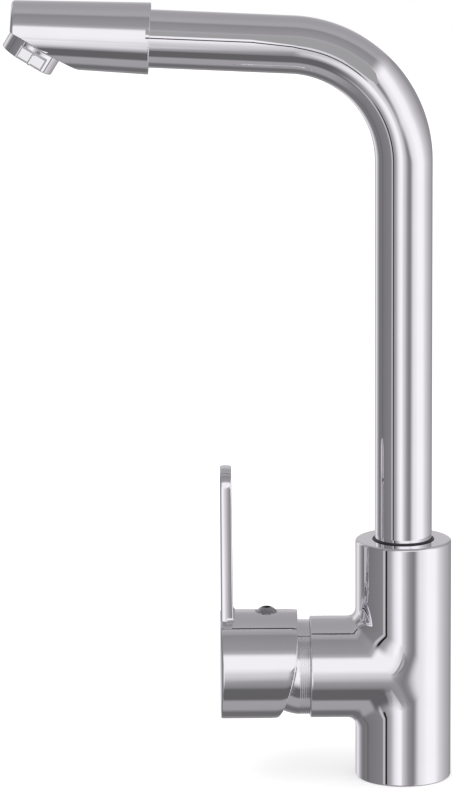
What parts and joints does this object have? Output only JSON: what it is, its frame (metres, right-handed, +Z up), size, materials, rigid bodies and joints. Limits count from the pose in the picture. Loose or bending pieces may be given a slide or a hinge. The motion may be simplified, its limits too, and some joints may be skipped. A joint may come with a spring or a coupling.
{
  "type": "kitchen faucet",
  "caption": "Single-lever kitchen faucet: high L-shaped swivel spout with a slanted outlet, round column and a side branch with an upright lever.",
  "frame": {"origin": "centre of the foot's underside, on the column's axis, which is the deck's surface", "axes": "+Z up along the column, -Y towards the user, where the spout and the lever point at rest, +X to the user's right"},
  "size_m": [0.0538, 0.216, 0.3861],
  "materials": {
    "polished_chrome": "polished chrome plate on brass",
    "stainless": "plain stainless steel",
    "raw_brass": "machined brass",
    "black_rubber": "matt black rubber",
    "black_plastic": "black sliding plastic",
    "white_plastic": "white moulded plastic",
    "disc_ceramic": "lapped white ceramic"
  },
  "bodies": {
    "body": {"faucet_body": "polished_chrome", "base_gasket": "black_rubber", "top_ring": "black_plastic", "slide_ring": "white_plastic", "spout_clip": "stainless", "cartridge_housing": "white_plastic", "cartridge_base": "white_plastic", "cartridge_seals": "black_rubber", "fixed_disc": "disc_ceramic", "cartridge_nut": "raw_brass", "nut_washer": "stainless", "shroud_dome": "polished_chrome", "rotor_seal": "black_rubber"},
    "spout": {"spout_tube": "polished_chrome", "spout_nipple": "raw_brass", "spout_seals": "black_rubber", "outlet_sleeve": "polished_chrome", "sleeve_seal": "black_rubber", "aerator_housing": "polished_chrome", "aerator_gasket": "black_rubber", "aerator_insert": "white_plastic", "aerator_screen": "stainless"},
    "turning_guide": {"rotor": "black_plastic", "stem_pin": "stainless"},
    "disc_carrier": {"moving_disc": "disc_ceramic", "disc_driver": "black_plastic"},
    "lever": {"lever_stem": "stainless", "lever_handle": "polished_chrome", "handle_screw": "stainless"}
  },
  "joints": [
    {"name": "spout_swivel", "type": "hinge", "parent": "body", "child": "spout", "pos_m": [0, 0, 0.1], "axis": [0, 0, 1], "continuous": true},
    {"name": "lever_turn", "type": "hinge", "parent": "body", "child": "turning_guide", "pos_m": [0, -0.0499, 0.0553], "axis": [0, -1, 0], "range_deg": [-50, 50]},
    {"name": "lever_tilt", "type": "hinge", "parent": "turning_guide", "child": "lever", "pos_m": [0, -0.0499, 0.0553], "axis": [1, 0, 0], "range_deg": [0, 25]},
    {"name": "disc_slide", "type": "slide", "parent": "turning_guide", "child": "disc_carrier", "axis": [0, 0, 1], "range_m": [0, 0.0039]}
  ],
  "couplings": [
    {"joint": "disc_slide", "follows": "lever_tilt", "m_per_rad": 0.00872}
  ]
}
